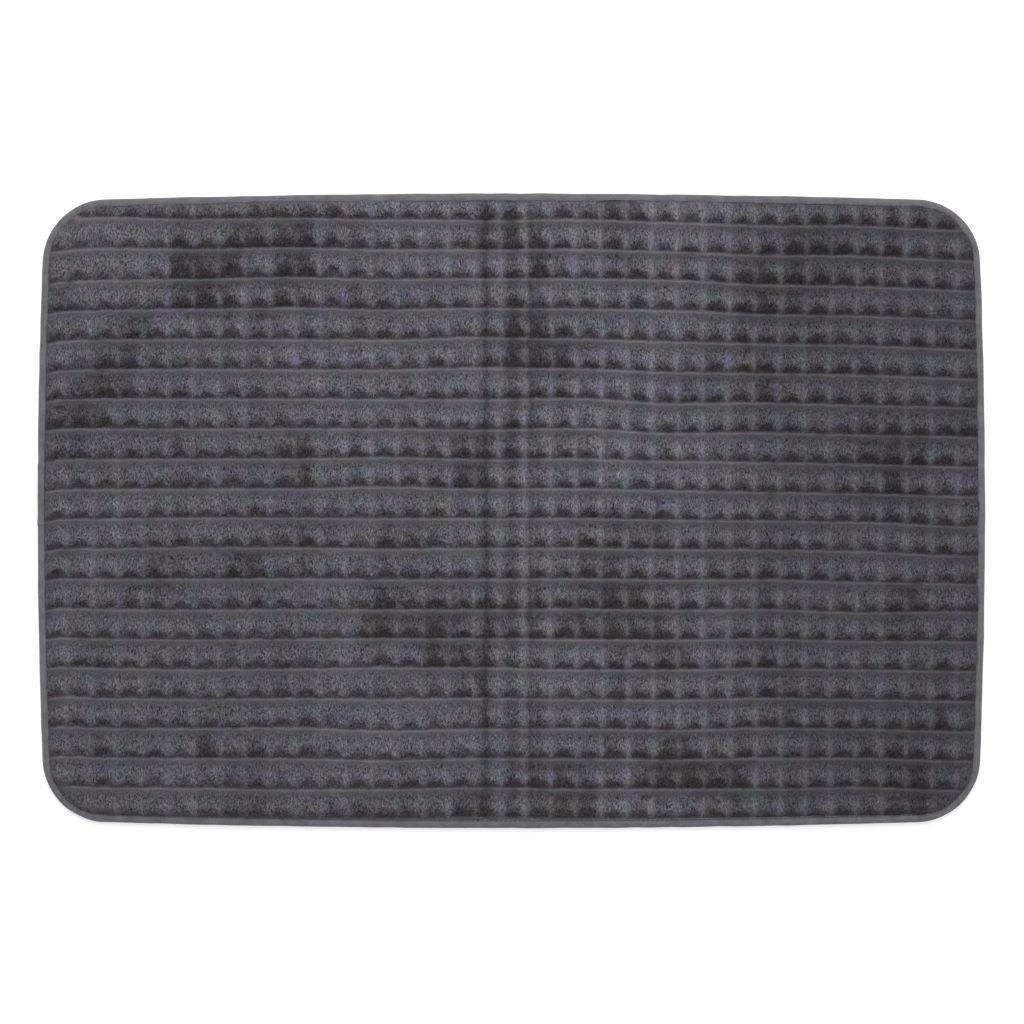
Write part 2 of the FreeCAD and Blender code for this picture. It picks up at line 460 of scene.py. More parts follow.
    def pressed(self):
        """How flat the pile is pressed: most below the lines and in the channels."""
        strip_below = 1 - smooth(self.rib, 0.10, 0.28)
        channel = 1.2 * self.channel_strength() * (1 - self.round_x) ** 3
        return np.clip(np.maximum(strip_below, channel), 0, 1)

    def nap(self):
        """Patches where the pile was brushed another way, drawn out along the ribs."""
        x, y = self.x, self.y
        along = (self.rib_index + 0.5) * 0.01
        patches = 0.28 * clouds(x, y, 0.07, 0.06, SEED + 7)
        patches += 0.50 * clouds(x, along, 0.030, 0.01, SEED + 50)
        patches += 0.40 * clouds(x, along, 0.010, 0.01, SEED + 90)
        uneven = np.clip(0.85 + 0.5 * clouds(x, along, 0.018, 0.01, SEED + 60), 0, 1.6)
        return np.clip(patches + uneven * self.brushed(), -1.5, 2.6)

    def brushed(self):
        """Where the pile was last brushed the other way."""
        total = np.zeros_like(self.x)
        for place_x, place_y, reach_x, reach_y, strength in BRUSHED:
            away = ((self.x - place_x) / reach_x) ** 2 + ((self.y - place_y) / reach_y) ** 2
            total += strength * np.exp(-away)
        return total

    def shade(self):
        """How light the whole pile is painted: lightest left of the middle, darkest towards +X, a
        little darker round the middle, with painted shade along the tape.
        """
        near = np.exp(-(self.x / 0.020) ** 4)
        # painted shade on the pile next to the tape
        rim = 1 - 0.20 * (1 - smooth(self.depth, 0.0058, 0.0110))
        along = (1 + 0.10 * smooth(self.x, -0.16, -0.10)) * (1 - 0.32 * smooth(self.x, 0.08, 0.19))
        return rim * along * (1 - 0.05 * near)


# ---------------------------------------------------------------- materials

class Nodes:
    """A short way to build a node tree."""

    def __init__(self, tree):
        self.tree = tree

    def add(self, kind, inputs=None, **options):
        node = self.tree.nodes.new(kind)
        for key, value in options.items():
            setattr(node, key, value)
        for key, value in (inputs or {}).items():
            socket = node.inputs[key]
            if isinstance(value, bpy.types.NodeSocket):
                self.tree.links.new(value, socket)
            else:
                socket.default_value = value
        return node

    def math(self, operation, a, b=0.0, clamp=False):
        return self.add("ShaderNodeMath", {0: a, 1: b}, operation=operation,
                        use_clamp=clamp).outputs[0]

    def plus(self, a, b, clamp=False):
        return self.math("ADD", a, b, clamp)

    def minus(self, a, b):
        return self.math("SUBTRACT", a, b)

    def times(self, a, b):
        return self.math("MULTIPLY", a, b)

    def mix(self, factor, a, b, blend="MIX"):
        node = self.add("ShaderNodeMix", data_type="RGBA", blend_type=blend)
        for index, value in ((0, factor), (6, a), (7, b)):
            if isinstance(value, bpy.types.NodeSocket):
                self.tree.links.new(value, node.inputs[index])
            else:
                node.inputs[index].default_value = value
        return node.outputs[2]

    def shaded(self, tone, bright):
        """A colour made lighter or darker by a number."""
        grey = self.add("ShaderNodeCombineColor", {0: bright, 1: bright, 2: bright})
        return self.mix(1.0, tone, grey.outputs[0], "MULTIPLY")

    def spread(self, value, low, high, to_low=0.0, to_high=1.0):
        return self.add("ShaderNodeMapRange", {
            "Value": value, "From Min": low, "From Max": high,
            "To Min": to_low, "To Max": to_high}).outputs[0]

    def step(self, value, low, high):
        """0 at low and 1 at high, smooth between; low may be the larger."""
        return self.add("ShaderNodeMapRange", {
            "Value": value, "From Min": low, "From Max": high},
            interpolation_type="SMOOTHSTEP").outputs[0]

    def tent(self, value, peak, reach):
        """1 at the peak, 0 further than reach from it."""
        away = self.math("ABSOLUTE", self.minus(value, peak))
        return self.step(away, reach, 0.0)

    def mask(self, name):
        return self.add("ShaderNodeAttribute", attribute_name=name).outputs["Fac"]

    def place(self, scale, source="Object"):
        where = self.add("ShaderNodeTexCoord").outputs[source]
        return self.add("ShaderNodeMapping", {"Vector": where, "Scale": scale}).outputs[0]

    def noise(self, where, scale=1.0, detail=3.0, roughness=0.55):
        return self.add("ShaderNodeTexNoise", {
            "Vector": where, "Scale": scale, "Detail": detail,
            "Roughness": roughness}).outputs["Fac"]


def rgba(value):
    return (*value, 1.0)


def new_group(name, inputs, outputs):
    """An empty shader group with these sockets: name, kind and default."""
    group = bpy.data.node_groups.new(name, "ShaderNodeTree")
    for label, kind, value in inputs:
        socket = group.interface.new_socket(label, in_out="INPUT", socket_type=kind)
        if value is not None:
            socket.default_value = value
    for label, kind in outputs:
        group.interface.new_socket(label, in_out="OUTPUT", socket_type=kind)
    given, out = group.nodes.new("NodeGroupInput"), group.nodes.new("NodeGroupOutput")
    return group, Nodes(group), given, out


def grain_group():
    """Short curly fibres: one value for colour and one height for bump."""
    found = bpy.data.node_groups.get("fibre_grain")
    if found:
        return found
    group, n, given, out = new_group(
        "fibre_grain",
        [("Vector", "NodeSocketVector", None), ("Curl", "NodeSocketFloat", 0.35)],
        [("Value", "NodeSocketFloat"), ("Height", "NodeSocketFloat")])
    where = given.outputs["Vector"]
    bend = n.add("ShaderNodeTexNoise", {"Vector": where, "Scale": 0.5, "Detail": 0.0})
    turn = n.add("ShaderNodeVectorMath", {0: bend.outputs["Color"]}, operation="SCALE")
    n.tree.links.new(given.outputs["Curl"], turn.inputs["Scale"])
    bent = n.add("ShaderNodeVectorMath", {0: where, 1: turn.outputs[0]}, operation="ADD")
    tufts = n.noise(bent.outputs[0], 1.0, 2.0, 0.7)
    n.tree.links.new(n.spread(tufts, 0.34, 0.66), out.inputs["Value"])
    n.tree.links.new(tufts, out.inputs["Height"])
    return group


def weave_group():
    """Crossing threads: one value for colour and one height for bump."""
    found = bpy.data.node_groups.get("cloth_weave")
    if found:
        return found
    group, n, given, out = new_group(
        "cloth_weave",
        [("Vector", "NodeSocketVector", None), ("Slub", "NodeSocketFloat", 0.2)],
        [("Value", "NodeSocketFloat"), ("Height", "NodeSocketFloat")])
    parts = n.add("ShaderNodeSeparateXYZ", {0: given.outputs["Vector"]})
    turn = 2 * math.pi
    along = n.math("SINE", n.times(parts.outputs["X"], turn))
    across = n.math("SINE", n.times(parts.outputs["Y"], turn))
    cross = n.times(along, across)
    lift = n.plus(n.times(n.math("ABSOLUTE", across), 0.6),
                  n.times(cross, 0.4))
    slub = n.times(n.noise(given.outputs["Vector"], 0.35), given.outputs["Slub"])
    n.tree.links.new(n.plus(lift, slub), out.inputs["Height"])
    n.tree.links.new(n.spread(n.plus(lift, slub), -0.4, 1.2), out.inputs["Value"])
    return group


def placed(nodes, group, inputs):
    """A group node with its inputs set."""
    node = nodes.tree.nodes.new("ShaderNodeGroup")
    node.node_tree = group
    for key, value in inputs.items():
        if isinstance(value, bpy.types.NodeSocket):
            nodes.tree.links.new(value, node.inputs[key])
        else:
            node.inputs[key].default_value = value
    return node


def new_material(name):
    """A material with a Principled shader, and a helper for its nodes."""
    material = bpy.data.materials.new(name)
    material.use_nodes = True
    nodes = Nodes(material.node_tree)
    shader = material.node_tree.nodes["Principled BSDF"]
    return material, nodes, shader


def add_bump(nodes, shader, height, distance, strength=1.0):
    bump = nodes.add("ShaderNodeBump", {
        "Height": height, "Distance": distance, "Strength": strength})
    nodes.tree.links.new(bump.outputs[0], shader.inputs["Normal"])


class PilePattern:
    """Masks of the pressed pile and of its painted light and shade, from 0 to 1, that follow the
    cover's own attributes.
    """

    def __init__(self, nodes, f):
        self.n, self.f = nodes, f
        self.pressed, self.nap = nodes.mask("pressed"), nodes.mask("nap")
        self.depth, self.shade = nodes.mask("channel_depth"), nodes.mask("shade")
        self.ribs, self.channels = nodes.mask("ribs"), nodes.mask("channels")
        self.ragged = nodes.noise(nodes.place((330.0, 250.0, 300.0)), 1.0, 2.0, 0.6)
        self.down = nodes.math("FRACT", self.ribs)

    def by_depth(self, shallow, deep):
        """A value that goes with the depth of the channels."""
        return self.n.spread(self.depth, self.f.channel_left, self.f.channel_right, shallow, deep)

    def frayed(self, value, amount):
        """A value whose steps get ragged edges."""
        return self.n.plus(value, self.n.times(self.n.minus(self.ragged, 0.5), amount))

    def chance(self):
        """A random number for each cell."""
        n = self.n
        cell = n.add("ShaderNodeCombineXYZ", {
            0: n.math("FLOOR", self.channels), 1: n.math("FLOOR", self.ribs)})
        return n.add("ShaderNodeTexWhiteNoise", {"Vector": cell.outputs[0]}).outputs["Value"]

    def line(self):
        """The thin line that the press left, lighter in part as a painted highlight on the lip of
        the rib below.
        """
        return self.n.tent(self.down, 0.064, 0.042)

    def strip(self):
        """The strip just below a line, which the press darkened."""
        return self.n.times(self.n.step(self.down, 0.04, 0.12), self.n.step(self.down, 0.58, 0.14))

    def turned(self):
        """Painted shade on the pile that turns down above the next line, arched between channels.
        """
        n = self.n
        middle = n.math("ABSOLUTE", n.minus(n.math("FRACT", self.channels), 0.53))
        arch = self.frayed(n.times(n.times(middle, middle), 0.9), 0.55)
        arch = n.plus(arch, n.times(n.minus(self.chance(), 0.6), 0.16))
        arch = n.minus(arch, n.times(self.nap, 0.055))
        turned = n.step(n.minus(self.down, arch), 0.64, 0.88)
        turned = n.times(turned, n.step(self.down, 1.0, 0.92))
        turned = n.times(turned, n.step(middle, 0.53, 0.34))
        return n.times(turned, self.by_depth(0.78, 1.0))

    def painted_channel_highlight(self):
        """Painted highlight on the pile along each channel, partly standing for the pile's lean,
        widest half way down the rib.
        """
        n = self.n
        offset = n.minus(n.math("FRACT", n.plus(self.channels, 0.55)), 0.5)
        side = self.frayed(n.math("MAXIMUM", n.times(offset, -1.0), n.times(offset, 2.6)), 0.30)
        reach = n.spread(n.tent(self.down, 0.56, 0.5), 0.0, 1.0, 0.14, 0.62)
        near = n.step(n.math("DIVIDE", side, reach), 1.0, 0.0)
        return n.times(n.times(near, n.step(self.down, 0.14, 0.55)), self.by_depth(0.18, 0.46))

    def brushed(self):
        """The pile brushed the other way, in ragged patches."""
        n = self.n
        torn = n.noise(n.place((150.0, 120.0, 150.0)), 1.0, 3.0, 0.65)
        patches = n.plus(self.nap, n.times(n.minus(torn, 0.5), 4.5))
        return n.times(n.step(patches, 0.75, 1.45), n.step(self.down, 0.12, 0.35))

    def painted_fold_shade_and_light(self):
        """Painted shade in the creases left by folding and painted light on the ridges between
        them, which wander and fade along the mat.
        """
        n = self.n
        wander = n.times(n.minus(n.noise(n.place((14.0, 32.0, 14.0))), 0.5), 0.006)
        x = n.add("ShaderNodeSeparateXYZ", {0: n.place((1.0, 1.0, 1.0))}).outputs["X"]
        x = self.frayed(n.plus(x, wander), 0.0022)
        painted_fold_shade_and_light = 0.0
        for place, width, strength in FOLD_CREASES:
            painted_fold_shade_and_light = n.plus(painted_fold_shade_and_light, n.times(n.tent(x, place, 1.9 * width), strength))
        fade = n.spread(n.noise(n.place((6.0, 26.0, 6.0)), 1.0, 1.0), 0.35, 0.62, 0.5, 1.0)
        return n.times(painted_fold_shade_and_light, fade)


def fleece_material(f):
    """Pile with a painted highlight along the channels, painted shade where it turns down, and flat
    on the lines.
    """
    material, n, shader = new_material("fleece")
    grain = placed(n, grain_group(), {"Vector": n.place((1350.0, 560.0, 1000.0)), "Curl": 1.8})
    curls = grain.outputs["Value"]
    pile = PilePattern(n, f)
    # turned is the painted shade on each rib's lower slope, above the next line
    turned, brushed = pile.turned(), pile.brushed()

    dark_tip = [c * 0.72 for c in f.tip_colour]
    # the roots are painted shade between the tufts
    tips = n.mix(curls, rgba(f.root_shade_colour), rgba(f.tip_colour))
    flat = n.mix(curls, rgba(dark_tip), rgba(f.pressed_colour))
    tone = n.mix(n.times(pile.pressed, 0.55), tips, flat)
    # the pressed line, lighter in part as a painted highlight on the lip of the rib below
    tone = n.mix(n.times(pile.line(), 0.85), tone, rgba(f.line_and_highlight_colour))

    # the painted highlight along the channels lightens the colour
    bright = n.plus(pile.painted_channel_highlight(), 1.0)
    # painted shade where the pile turns down and in the fold creases darkens the colour, as do the
    # pressed strip, the nap and the brushed patches
    for mask, loss in ((turned, 0.50), (pile.strip(), pile.by_depth(0.26, 0.34)),
                       (pile.nap, 0.09), (brushed, 0.25), (pile.painted_fold_shade_and_light(), 0.38)):
        bright = n.minus(bright, n.times(mask, loss))
    tone = n.shaded(tone, n.times(n.math("MAXIMUM", bright, 0.40), pile.shade))
    # a warm tint on the painted shade where the pile turns down, and on the brushed nap
    shade_and_nap_warmth = n.plus(n.times(turned, 0.9), n.times(brushed, 0.6), clamp=True)
    tone = n.mix(shade_and_nap_warmth, tone, n.mix(1.0, tone, rgba(f.shade_and_nap_tint), "MULTIPLY"))
    cast = n.add("ShaderNodeTexNoise", {
        "Vector": n.place((60.0, 75.0, 60.0)), "Scale": 1.0, "Detail": 1.0})
    cast = n.mix(1.0, cast.outputs["Color"], (2.0, 2.0, 2.0, 1.0), "MULTIPLY")
    tone = n.mix(0.22, tone, n.mix(1.0, tone, cast, "MULTIPLY"))
    n.tree.links.new(tone, shader.inputs["Base Color"])
    n.tree.links.new(n.spread(curls, 0.0, 1.0, 0.98, 0.84), shader.inputs["Roughness"])
    shader.inputs["Specular IOR Level"].default_value = 0.2
    shader.inputs["Sheen Weight"].default_value = 0.08
    shader.inputs["Sheen Roughness"].default_value = 0.45
    shader.inputs["Sheen Tint"].default_value = (0.8, 0.8, 0.88, 1.0)
    flattened = n.spread(pile.pressed, 0.0, 1.0, 1.0, 0.35)
    add_bump(n, shader, n.times(grain.outputs["Height"], flattened), 0.0010)
    return material


def tape_material(b):
    """Knitted tape: fine ribs along its length, crossed by small stitches."""
    material, n, shader = new_material("binding")
    knit = placed(n, weave_group(), {"Vector": n.place((1000.0, 1.0, 1.0), "UV"), "Slub": 0.3})
    cloud = n.noise(n.place((160.0, 160.0, 160.0)), 1.0, 3.0)
    lint = n.noise(n.place((1500.0, 1500.0, 1500.0)), 1.0, 4.0, 0.6)
    dark = [c * 0.62 for c in b.colour]
    base = n.mix(knit.outputs["Value"], rgba(dark), rgba(b.colour))
    bright = n.times(n.spread(cloud, 0.3, 0.7, 0.76, 1.16), n.spread(lint, 0.3, 0.7, 0.82, 1.14))
    n.tree.links.new(n.shaded(base, bright), shader.inputs["Base Color"])
    n.tree.links.new(n.spread(lint, 0.3, 0.7, 0.78, 0.92), shader.inputs["Roughness"])
    shader.inputs["Sheen Weight"].default_value = 0.15
    shader.inputs["Specular IOR Level"].default_value = 0.3
    relief = n.plus(knit.outputs["Height"], n.times(lint, 0.5))
    add_bump(n, shader, relief, 0.00018)
    return material


def thread_material(b):
    """Twisted thread: slanting plies."""
    material, n, shader = new_material("thread")
    where = n.place((1.0, 1.0, 1.0), "UV")
    parts = n.add("ShaderNodeSeparateXYZ", {0: where})
    slant = n.plus(n.times(parts.outputs["X"], 40.0), parts.outputs["Y"])
    ply = n.math("ABSOLUTE", n.math("SINE", n.times(slant, 2 * math.pi)))
    dark = [c * 0.5 for c in b.thread_colour]
    n.tree.links.new(n.mix(ply, rgba(dark), rgba(b.thread_colour)), shader.inputs["Base Color"])
    n.tree.links.new(n.spread(ply, 0.0, 1.0, 0.7, 0.5), shader.inputs["Roughness"])
    add_bump(n, shader, ply, 0.00008)
    return material


def foam_material():
    """Open-cell foam: round pores of several sizes, with painted shade in them."""
    material, n, shader = new_material("foam")
    where = n.place((900.0, 900.0, 900.0))
    pores = n.add("ShaderNodeTexVoronoi", {"Vector": where, "Scale": 1.0}).outputs["Distance"]
    large = n.add("ShaderNodeTexVoronoi", {"Vector": where, "Scale": 0.3}).outputs["Distance"]
    depth = n.times(n.spread(pores, 0.1, 0.5), n.spread(large, 0.05, 0.3))
    # painted shade: darker deep in the pores
    tone = n.mix(depth, rgba((0.50, 0.46, 0.36)), rgba((0.80, 0.77, 0.68)))
    n.tree.links.new(tone, shader.inputs["Base Color"])
    n.tree.links.new(n.spread(depth, 0.0, 1.0, 1.0, 0.85), shader.inputs["Roughness"])
    add_bump(n, shader, depth, 0.0004)
    return material


def backing_material():
    """Plain woven backing cloth."""
    material, n, shader = new_material("backing")
    weave = placed(n, weave_group(), {"Vector": n.place((1100.0, 1100.0, 1100.0)), "Slub": 0.5})
    tone = n.mix(weave.outputs["Value"], rgba((0.07, 0.07, 0.078)), rgba((0.17, 0.17, 0.185)))
    n.tree.links.new(tone, shader.inputs["Base Color"])
    shader.inputs["Roughness"].default_value = 0.9
    add_bump(n, shader, weave.outputs["Height"], 0.0002)
    return material


def grip_material():
    """Soft grip compound: satin, finely pitted, with dust on it."""
    material, n, shader = new_material("grip")
    pits = n.noise(n.place((2500.0, 2500.0, 2500.0)), 1.0, 3.0)
    dust = n.noise(n.place((90.0, 90.0, 90.0)), 1.0, 4.0, 0.6)
    tone = n.mix(n.spread(dust, 0.4, 0.75), rgba((0.045, 0.045, 0.05)), rgba((0.10, 0.10, 0.105)))
    n.tree.links.new(tone, shader.inputs["Base Color"])
    n.tree.links.new(n.spread(pits, 0.3, 0.7, 0.42, 0.60), shader.inputs["Roughness"])
    add_bump(n, shader, pits, 0.0001)
    return material


def floor_material(stage):
    """Plain pale floor with a barely mottled finish."""
    material, n, shader = new_material("floor")
    cloud = n.noise(n.place((3.0, 3.0, 3.0)), 1.0, 3.0)
    pale = rgba(stage.floor_colour)
    shade = rgba([c * 0.985 for c in stage.floor_colour])
    n.tree.links.new(n.mix(cloud, shade, pale), shader.inputs["Base Color"])
    shader.inputs["Roughness"].default_value = 0.9
    shader.inputs["Specular IOR Level"].default_value = 0.1
    shader.inputs["Emission Color"].default_value = (1, 1, 1, 1)
    shader.inputs["Emission Strength"].default_value = 0.18
    return material


# ---------------------------------------------------------------- pieces

def settings_of(context):
    scene = context.scene
    return scene.mat_outline, scene.mat_fleece, scene.mat_binding, scene.mat_stage


def finish_piece(piece, material, slot, *nodes):
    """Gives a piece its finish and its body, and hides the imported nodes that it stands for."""
    piece.data.materials.clear()
    piece.data.materials.append(material)
    shade_smooth(piece)
    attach(piece, "root")
    if nodes:
        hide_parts(*nodes)


def drawn_in(points, outline, least):
    """Moves points nearer than this to the outline, or past it, in to that distance."""
    depth, out_x, out_y = outline.inset(points[:, 0], points[:, 1])
    over = np.clip(least - depth, 0, None)
    points[:, 0] -= out_x * over
    points[:, 1] -= out_y * over
    return points


def resample(values, rows, columns):
    """A regular grid's values at these places along its rows and columns, smoothly joined."""
    for axis, at in ((0, rows), (1, columns)):
        base = np.clip(np.floor(at).astype(int), 1, values.shape[axis] - 3)
        t = (at - base).reshape((-1, 1, 1) if axis == 0 else (1, -1, 1))
        weights = (t * (t * (2 - t) - 1) / 2, 1 + t * t * (3 * t - 5) / 2,
                   t * (1 + t * (4 - 3 * t)) / 2, t * t * (t - 1) / 2)
        values = sum(weight * np.take(values, base + step - 1, axis)
                     for step, weight in enumerate(weights))
    return values


def blown_up(form):
    """How far the cover's points move when cloth simulation blows its cells up.

    The simulated cloth is a coarser sheet, held on the pressed lines, the channels and the edge.
    """
    coarse = CoverForm(form.outline, form.fleece, form.binding, CLOTH_STEPS, CLOTH_FACES)
    start = np.stack([coarse.x, coarse.y, coarse.heights(START_HEIGHT)[0]], axis=-1)
    cloth = add_grid("cover_cloth", coarse.columns, coarse.rows)
    set_coordinates(cloth.data, start.reshape(-1, 3))
    from_channel = np.minimum(coarse.channel, 1 - coarse.channel)
    held = (coarse.rib < 0.05) | (from_channel < 0.05) | (coarse.depth < 0.010)
    pins = cloth.vertex_groups.new(name="held")
    pins.add(np.flatnonzero(held).tolist(), 1.0, "REPLACE")
    cloth_settings(cloth.modifiers.new("blow_up", "CLOTH"))
    for frame_number in range(1, CLOTH_FRAMES + 1):
        bpy.context.scene.frame_set(frame_number)
    bpy.ops.object.modifier_apply(modifier="blow_up")
    moved = coordinates(cloth.data).reshape(start.shape) - start
    bpy.data.objects.remove(cloth)
    bpy.context.scene.frame_set(1)
    far = np.linalg.norm(moved, axis=-1, keepdims=True)
    moved *= np.minimum(1.0, MOST_PUFF / np.maximum(far, 1e-9))
    rows = (coarse.ribs[0, 0] - form.ribs[:, 0]) * len(CLOTH_STEPS)
    columns = (form.channels[0] - coarse.channels[0, 0]) * CLOTH_FACES
    return resample(moved, rows, columns)


def cloth_settings(modifier):
    """Light cloth a little too large for its cells, under pressure and without gravity."""
    settings = modifier.settings
    settings.quality = 6
    settings.mass = 0.15
    settings.tension_stiffness = settings.compression_stiffness = 12.0
    settings.shear_stiffness = 6.0
    settings.bending_stiffness = 0.3
    settings.air_damping = 3.0
    settings.use_pressure = True
    settings.uniform_pressure_force = 4.0
    settings.shrink_min = -0.05
    settings.effector_weights.gravity = 0.0
    settings.vertex_group_mass = "held"
    modifier.collision_settings.use_collision = False
    modifier.point_cache.frame_end = CLOTH_FRAMES


class BATHMAT_OT_cover(bpy.types.Operator):
    """Adds the fleece cover with its pressed ribs and cells"""

    bl_idname = "bathmat.add_cover"
    bl_label = "Fleece cover"

    def execute(self, context):
        outline_settings, fleece, binding, _ = settings_of(context)
        form = CoverForm(Outline(outline_settings), fleece, binding)
        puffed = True
        moved = blown_up(form) if puffed else np.zeros((*form.x.shape, 3))
        height, swell = form.heights(START_HEIGHT if puffed else 1.0)
        pressed = form.pressed()
        piece = add_grid("fleece_pile", form.columns, form.rows)
        tufts = clouds(form.x, form.y, 0.0026, 0.0042, SEED + 20)
        tufts = 0.7 * tufts + 0.5 * clouds(form.x, form.y, 0.0054, 0.0078, SEED + 21)
        relief = fleece.pile * tufts * (1 - 0.8 * pressed) * form.shoulder()[0]
        points = moved + np.stack([form.x + form.out_x * swell, form.y + form.out_y * swell,
                                   height + relief], axis=-1)
        inside = (form.depth > COVER_LIP).ravel()
        set_coordinates(piece.data, drawn_in(points.reshape(-1, 3), form.outline, COVER_LIP))
        set_mask(piece.data, "ribs", form.ribs)
        set_mask(piece.data, "channels", form.channels)
        set_mask(piece.data, "channel_depth", form.channel_strength())
        set_mask(piece.data, "pressed", pressed)
        set_mask(piece.data, "nap", form.nap())
        set_mask(piece.data, "shade", form.shade())
        trim(piece, inside)
        finish_piece(piece, fleece_material(fleece), "fleece", "fleece_cover")
        return {"FINISHED"}


class BATHMAT_OT_foam(bpy.types.Operator):
    """Adds the foam slab, pressed thin at the edge and ribbed like the cover"""

    bl_idname = "bathmat.add_foam"
    bl_label = "Foam core"

    def execute(self, context):
        outline_settings, fleece, binding, _ = settings_of(context)
        form = CoverForm(Outline(outline_settings), fleece, binding)
        low = FOAM_LOW.z + FOAM_EDGE
        t = np.clip((form.depth - FOAM_RISE_START) / FOAM_RISE_WIDTH, 0, 1)
        under = lowest_nearby(form.heights(START_HEIGHT)[0]) - FLEECE_CLOTH
        top = low + (under - low) * np.sqrt(1 - (1 - t) ** 2)
        points = every(FOAM_STEP, np.stack([form.x, form.y, top, form.depth], axis=-1))
        piece = add_grid("foam_pad", points.shape[1] - 1, points.shape[0] - 1)
        points = points.reshape(-1, 4)
        edge = binding.thickness + 0.0006
        inside = points[:, 3] > edge
        set_coordinates(piece.data, drawn_in(points[:, :3], form.outline, edge))
        trim(piece, inside)
        close_below(piece, FOAM_LOW.z)
        finish_piece(piece, foam_material(), "foam", "foam_core")
        return {"FINISHED"}


def every(step, grid):
    """Every so many rows and columns of a grid, with its last ones kept."""
    rows, columns = (np.unique(np.append(np.arange(0, n, step), n - 1)) for n in grid.shape[:2])
    return grid[rows[:, None], columns[None, :]]


def lowest_nearby(height):
    """The lowest of each point and those within two steps of it."""
    padded = np.pad(height, 2, mode="edge")
    rows, columns = height.shape
    return np.min([padded[i:i + rows, j:j + columns] for i in range(5) for j in range(5)], axis=0)


def close_below(piece, z):
    """Closes an open sheet into a solid with a flat underside at z."""
    mesh = bmesh.new()
    mesh.from_mesh(piece.data)
    top = list(mesh.faces)
    copy = bmesh.ops.duplicate(mesh, geom=top)
    low_faces = [g for g in copy["geom"] if isinstance(g, bmesh.types.BMFace)]
    for point in {v for f in low_faces for v in f.verts}:
        point.co.z = z
    bmesh.ops.reverse_faces(mesh, faces=low_faces)
    rim = [e for e in mesh.edges if len(e.link_faces) == 1]
    bmesh.ops.bridge_loops(mesh, edges=rim)
    mesh.to_mesh(piece.data)
    mesh.free()


class BATHMAT_OT_backing(bpy.types.Operator):
    """Adds the backing cloth and finishes the grip dots under it"""

    bl_idname = "bathmat.add_backing"
    bl_label = "Backing and grip dots"

    def execute(self, context):
        outline_settings, _, binding, _ = settings_of(context)
        outline = Outline(outline_settings)
        step = 0.004
        columns = round(outline_settings.length / step)
        rows = round(outline_settings.width / step)
        piece = add_grid("backing_cloth", columns, rows)
        points = coordinates(piece.data) * (outline_settings.length, outline_settings.width, 1)
        edge = binding.thickness + 0.0003
        depth, _, _ = outline.inset(points[:, 0], points[:, 1])
        points = drawn_in(points, outline, edge)
        points[:, 2] = BACKING_HIGH.z - 0.00005
        set_coordinates(piece.data, points)
        trim(piece, depth > edge)
        close_below(piece, BACKING_LOW.z)
        finish_piece(piece, backing_material(), "backing", "backing_fabric")
        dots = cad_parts["grip_dots"]
        dots.data.materials.clear()
        dots.data.materials.append(grip_material())
        return {"FINISHED"}


def tape_section(cover):
    """The tape's outer side in section, from below round the edge to the top: inset and height.

    It is flat below, round at the mat's edge, and dimpled on top where the seam pulls it down.
    """
    low, high = TAPE_LOW.z + LAP_ROOM, TAPE_HIGH.z - LAP_ROOM
    middle, reach = (low + high) / 2, (high - low) / 2
    outer = [(cover, low), (0.0050, low + 0.0001), (0.0038, low)]
    for step in range(9):
        angle = math.radians(-80 + 20 * step)
        outer.append((0.0028 * (1 - math.cos(angle) ** 0.75), middle + reach * math.sin(angle)))
    outer += [(0.0038, high), (0.0049, high - 0.00035), (0.0058, high - 0.0001),
              (cover, high - 0.00025)]
    return np.array(outer)


class BATHMAT_OT_binding(bpy.types.Operator):
    """Adds the tape folded round the edge, with its ends lapped on the left side"""

    bl_idname = "bathmat.add_binding"
    bl_label = "Edge binding"

    def execute(self, context):
        outline_settings, _, binding, _ = settings_of(context)
        outline = Outline(outline_settings)
        turn = outline.perimeter()
        start, total = lap_start(outline, binding), turn + binding.lap_length
        distance = np.arange(0, total + TAPE_STEP / 2, TAPE_STEP)
        lift = binding.thickness * LAP_LIFT * smooth(distance, turn - 0.004, turn + 0.001)
        outer = tape_section(binding.cover)
        inner = thinned_section(outer, binding.thickness)
        section = np.concatenate([outer, inner[::-1]])
        foot, inward = outline.path(start + distance)
        wave = 0.6 * (ripple(distance, 0.011, SEED + 30) * 0.00018)
        pinch = 0.00012 * np.cos(2 * np.pi * distance / binding.stitch_pitch)
        rings = np.empty((len(distance), len(section), 3))
        middle = (section[:, 1].min() + section[:, 1].max()) / 2
        normal = section_normals(section)
        for index, (inset, height) in enumerate(section):
            near_seam = math.exp(-((inset - binding.seam_inset) / 0.0009) ** 2)
            up = 1.0 if height > middle else -1.0
            shift = lift + wave * (1 - near_seam)
            reach = inset + normal[index, 0] * shift
            level = height + normal[index, 1] * shift + up * near_seam * pinch
            rings[:, index, :2] = foot + inward * reach[:, None]
            rings[:, index, 2] = level
        piece = strip("binding_tape", rings, closed=False)
        add_tape_map(piece, len(section))
        finish_piece(piece, tape_material(binding), "binding", "edge_binding")
        return {"FINISHED"}


def lap_start(outline, binding):
    """Distance along the outline from its start to where the tape begins, on the left side."""
    lengths = [a[2] * (a[4] - a[3]) for a in outline.arcs()]
    left_middle = sum(lengths[:4]) + lengths[4] / 2
    return left_middle - binding.lap_middle - binding.lap_length / 2


def section_normals(section):
    """Direction at each point of a section, square to its loop and towards the loop's inside."""
    around = np.roll(section, -1, axis=0) - np.roll(section, 1, axis=0)
    normal = np.stack([around[:, 1], -around[:, 0]], axis=1)
    return normal / np.linalg.norm(normal, axis=1, keepdims=True)


